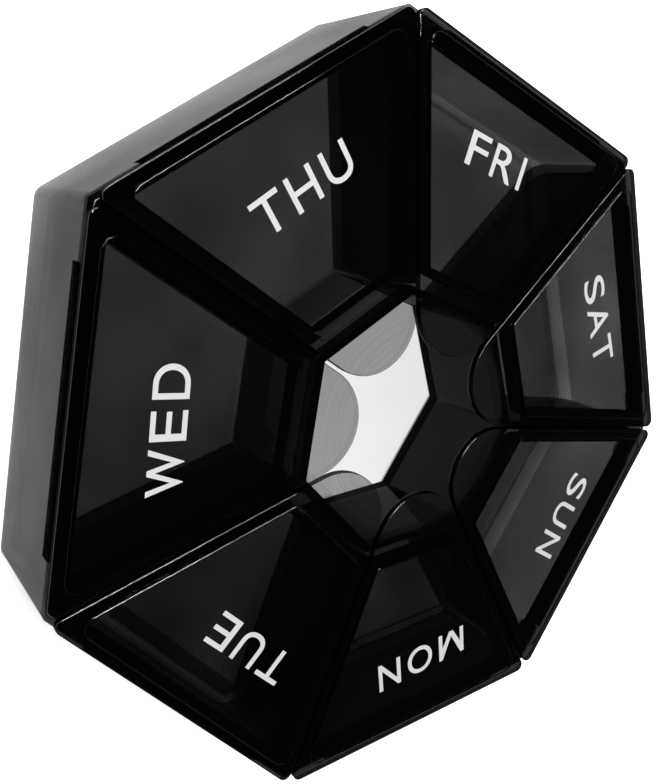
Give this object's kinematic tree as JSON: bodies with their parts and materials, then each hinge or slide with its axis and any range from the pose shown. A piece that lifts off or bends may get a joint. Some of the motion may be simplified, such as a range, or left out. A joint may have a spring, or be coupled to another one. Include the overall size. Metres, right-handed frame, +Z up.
{
  "type": "weekly pill organizer",
  "caption": "Seven-sided weekly pill box: a smoke-tinted tray of wedge compartments round a central hole, each under its own hinged flip lid.",
  "frame": {"origin": "on the axis of the central hole, in the plane of the foot that the tray stands on", "axes": "+Z up, out of the open side of the compartments; +Y towards the corner between the Thursday and Friday lids; -Y towards the middle of the Monday lid's outer edge"},
  "size_m": [0.1166, 0.1142, 0.0245],
  "materials": {
    "tray_plastic": "glossy, smoke-tinted, see-through",
    "lid_plastic": "glossy, smoke-tinted, see-through"
  },
  "bodies": {
    "tray": {"tray": "tray_plastic"},
    "lid_friday": {"lid_friday": "lid_plastic"},
    "lid_saturday": {"lid_saturday": "lid_plastic"},
    "lid_sunday": {"lid_sunday": "lid_plastic"},
    "lid_monday": {"lid_monday": "lid_plastic"},
    "lid_tuesday": {"lid_tuesday": "lid_plastic"},
    "lid_wednesday": {"lid_wednesday": "lid_plastic"},
    "lid_thursday": {"lid_thursday": "lid_plastic"}
  },
  "joints": [
    {"name": "friday_hinge", "type": "hinge", "parent": "tray", "child": "lid_friday", "pos_m": [0.02296, 0.04769, 0.02152], "axis": [-0.901, 0.4339, 0], "range_deg": [0, 95]},
    {"name": "saturday_hinge", "type": "hinge", "parent": "tray", "child": "lid_saturday", "pos_m": [0.0516, 0.01178, 0.02152], "axis": [-0.2225, 0.9749, 0], "range_deg": [0, 95]},
    {"name": "sunday_hinge", "type": "hinge", "parent": "tray", "child": "lid_sunday", "pos_m": [0.04138, -0.033, 0.02152], "axis": [0.6235, 0.7818, 0], "range_deg": [0, 95]},
    {"name": "monday_hinge", "type": "hinge", "parent": "tray", "child": "lid_monday", "pos_m": [0, -0.05293, 0.02152], "axis": [1, 0, 0], "range_deg": [0, 95]},
    {"name": "tuesday_hinge", "type": "hinge", "parent": "tray", "child": "lid_tuesday", "pos_m": [-0.04138, -0.033, 0.02152], "axis": [0.6235, -0.7818, 0], "range_deg": [0, 95]},
    {"name": "wednesday_hinge", "type": "hinge", "parent": "tray", "child": "lid_wednesday", "pos_m": [-0.0516, 0.01178, 0.02152], "axis": [-0.2225, -0.9749, 0], "range_deg": [0, 95]},
    {"name": "thursday_hinge", "type": "hinge", "parent": "tray", "child": "lid_thursday", "pos_m": [-0.02296, 0.04769, 0.02152], "axis": [-0.901, -0.4339, 0], "range_deg": [0, 95]}
  ]
}
